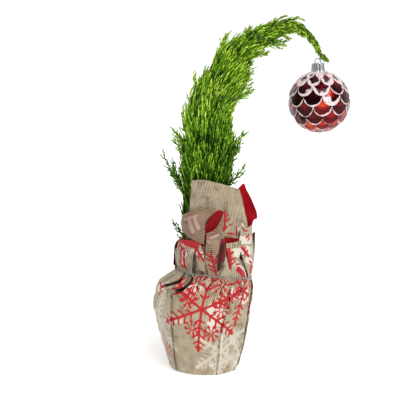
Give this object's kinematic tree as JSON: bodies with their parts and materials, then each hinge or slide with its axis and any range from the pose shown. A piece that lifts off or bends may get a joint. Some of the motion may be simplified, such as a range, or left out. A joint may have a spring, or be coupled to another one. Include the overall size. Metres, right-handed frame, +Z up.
{
  "type": "potted lemon cypress",
  "caption": "Small potted cypress with an arched leader that carries a bauble, its pot wrapped in folded printed paper tied with string.",
  "frame": {"origin": "centre of the flat underside of the paper wrap, on the ground", "axes": "+Z up, +X to the side that the leader bends over to, -Y towards the front"},
  "size_m": [0.2518, 0.1259, 0.4588],
  "materials": {
    "kraft_paper": "ribbed matte",
    "pot_plastic": "moulded",
    "compost": "rough",
    "bark": "rough",
    "cypress_foliage": "matte",
    "string": "twisted",
    "bauble_shell": "gloss with glitter",
    "cap_metal": "bright",
    "binding_wire": "plastic coated"
  },
  "bodies": {
    "root": {"wrap": "kraft_paper", "pot": "pot_plastic", "soil": "compost", "trunk": "bark", "leader_rise": "bark", "leader_drop": "bark", "limb_left": "bark", "foliage_1": "cypress_foliage", "foliage_2": "cypress_foliage", "foliage_3": "cypress_foliage", "foliage_4": "cypress_foliage", "foliage_5": "cypress_foliage", "foliage_6": "cypress_foliage", "foliage_7": "cypress_foliage", "foliage_8": "cypress_foliage", "foliage_9": "cypress_foliage", "foliage_left": "cypress_foliage", "foliage_tip": "cypress_foliage", "flap_front": "kraft_paper", "flap_right": "kraft_paper", "flap_back": "kraft_paper", "flap_curl": "kraft_paper", "flap_left": "kraft_paper", "pleat_front": "kraft_paper", "pocket_front": "kraft_paper", "panel_right": "kraft_paper", "panel_back_right": "kraft_paper", "panel_back": "kraft_paper", "panel_back_left": "kraft_paper", "tie_string": "string", "tie_bow": "string", "bauble": "bauble_shell", "bauble_cap": "cap_metal", "tie_wire": "binding_wire"}
  },
  "joints": []
}
